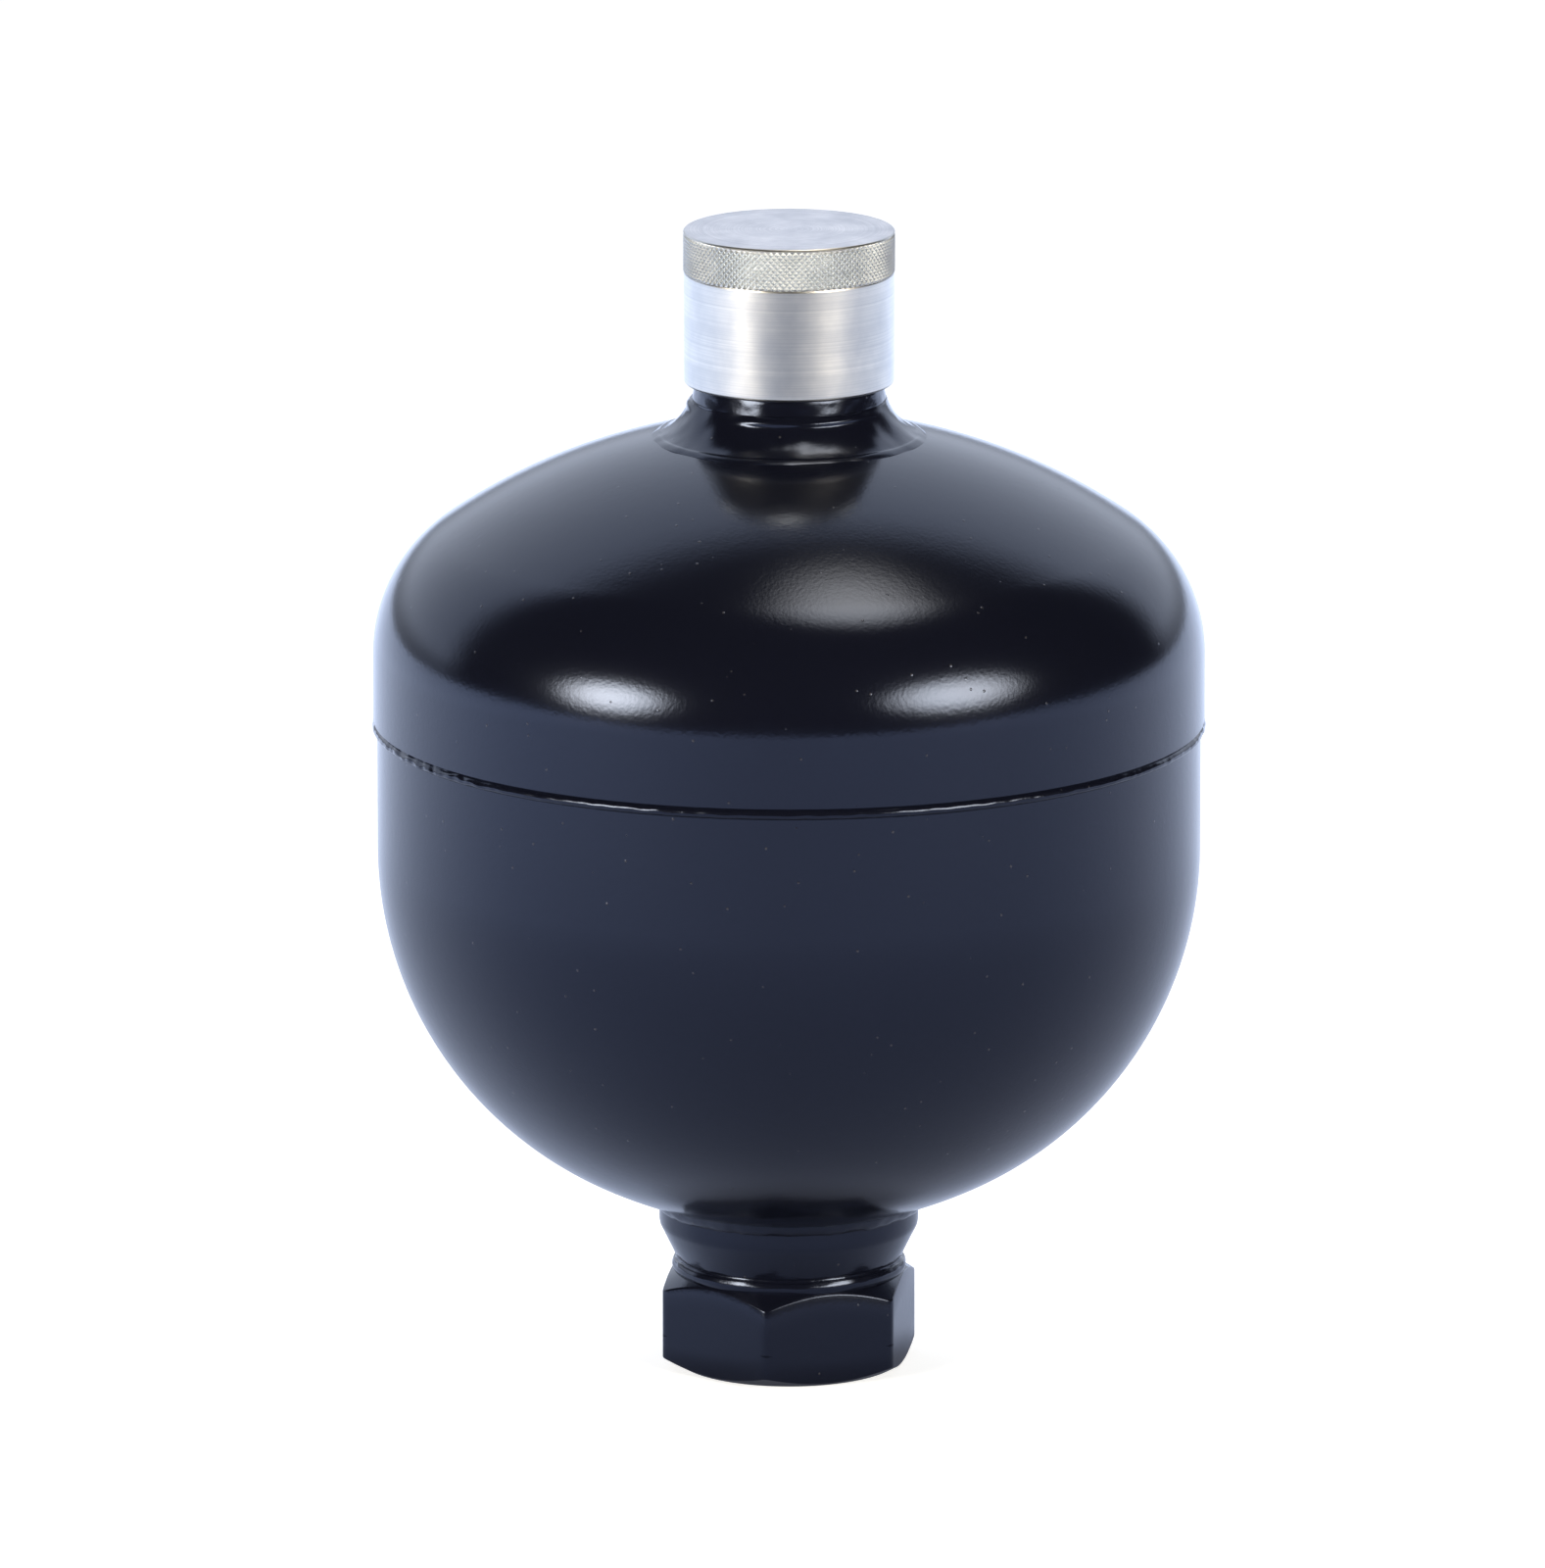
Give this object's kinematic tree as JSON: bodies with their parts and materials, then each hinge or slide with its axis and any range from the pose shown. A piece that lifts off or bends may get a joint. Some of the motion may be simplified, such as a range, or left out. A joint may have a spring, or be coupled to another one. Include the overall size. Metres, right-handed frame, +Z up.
{
  "type": "diaphragm accumulator",
  "caption": "Welded diaphragm accumulator: a black pressed steel vessel with a threaded hexagonal fluid port below and a gas valve under a knurled screw cap above.",
  "frame": {"origin": "middle of the hexagonal port's lower end, on the vessel's axis", "axes": "+Z up along the vessel's axis from the fluid port to the gas valve, X across two flats of the hexagon"},
  "size_m": [0.1064, 0.1064, 0.1479],
  "materials": {
    "black_lacquer": "gloss lacquer over steel",
    "machined_steel": "turned",
    "zinc_plate": "turned and zinc plated",
    "nitrile_rubber": "moulded, matt",
    "brass": "turned",
    "ptfe": "turned"
  },
  "bodies": {
    "vessel": {"upper_shell": "black_lacquer", "lower_shell": "black_lacquer", "girth_weld": "black_lacquer", "gas_neck": "black_lacquer", "gas_neck_weld": "black_lacquer", "fluid_port": "black_lacquer", "fluid_port_weld": "black_lacquer", "clamp_ring": "machined_steel", "valve_core_spring": "machined_steel", "gas_valve_body": "zinc_plate", "diaphragm": "nitrile_rubber", "gas_valve_ring": "nitrile_rubber", "valve_cap_seal": "nitrile_rubber", "cap_ring": "nitrile_rubber", "valve_core_barrel": "brass", "valve_cap": "brass", "valve_core_gasket": "ptfe"},
    "protective_cap": {"protective_cap": "zinc_plate"},
    "diaphragm_button": {"diaphragm_button": "machined_steel", "button_washer": "machined_steel"},
    "valve_core_pin": {"valve_core_pin": "brass", "valve_core_seal": "nitrile_rubber"}
  },
  "joints": [
    {"name": "protective_cap_lift", "type": "slide", "parent": "vessel", "child": "protective_cap", "axis": [0, 0, 1], "range_m": [0, 0.022]},
    {"name": "diaphragm_stroke", "type": "slide", "parent": "vessel", "child": "diaphragm_button", "axis": [0, 0, 1], "range_m": [0, 0.074], "stiffness_N_per_m": 30, "deforming": ["diaphragm"]},
    {"name": "valve_pin_press", "type": "slide", "parent": "vessel", "child": "valve_core_pin", "axis": [0, 0, -1], "range_m": [0, 0.001], "stiffness_N_per_m": 800, "springref_m": -0.001, "deforming": ["valve_core_spring"]}
  ]
}
